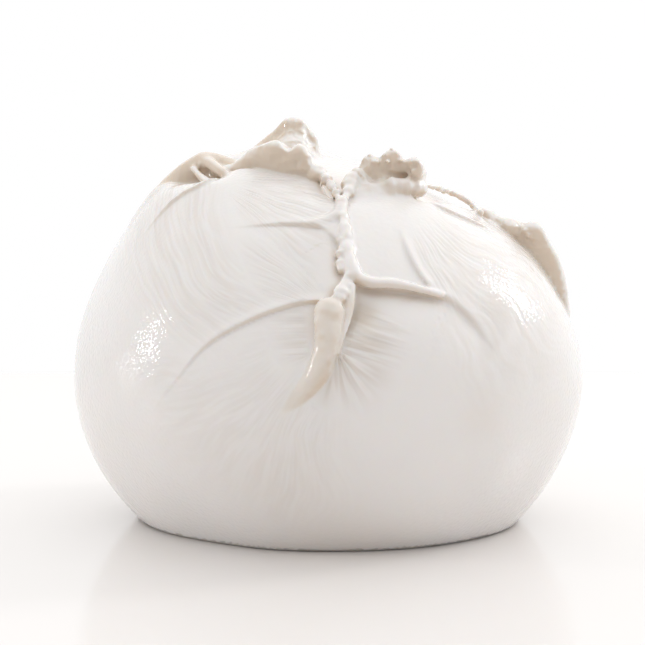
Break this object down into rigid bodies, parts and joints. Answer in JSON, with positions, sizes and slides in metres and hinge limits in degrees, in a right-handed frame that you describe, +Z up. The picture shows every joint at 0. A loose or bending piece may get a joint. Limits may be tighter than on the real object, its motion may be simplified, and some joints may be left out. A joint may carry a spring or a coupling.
{
  "type": "buffalo mozzarella ball",
  "caption": "Soft, hand-torn ball of fresh white cheese that has slumped onto a flat; ragged torn crests on top, a beaded seam, folds and a drooping finger of curd in front.",
  "frame": {"origin": "middle of the flat that the ball stands on", "axes": "+Z up; -Y is the front, with the seam and the drooping finger; +X is to the right as seen from the front"},
  "size_m": [0.1056, 0.103, 0.083],
  "materials": {
    "curd": "wet, milky white cheese skin with a soft gloss, warm tan where it is torn or folded deep"
  },
  "bodies": {
    "root": {"mozzarella": "curd"}
  },
  "joints": []
}
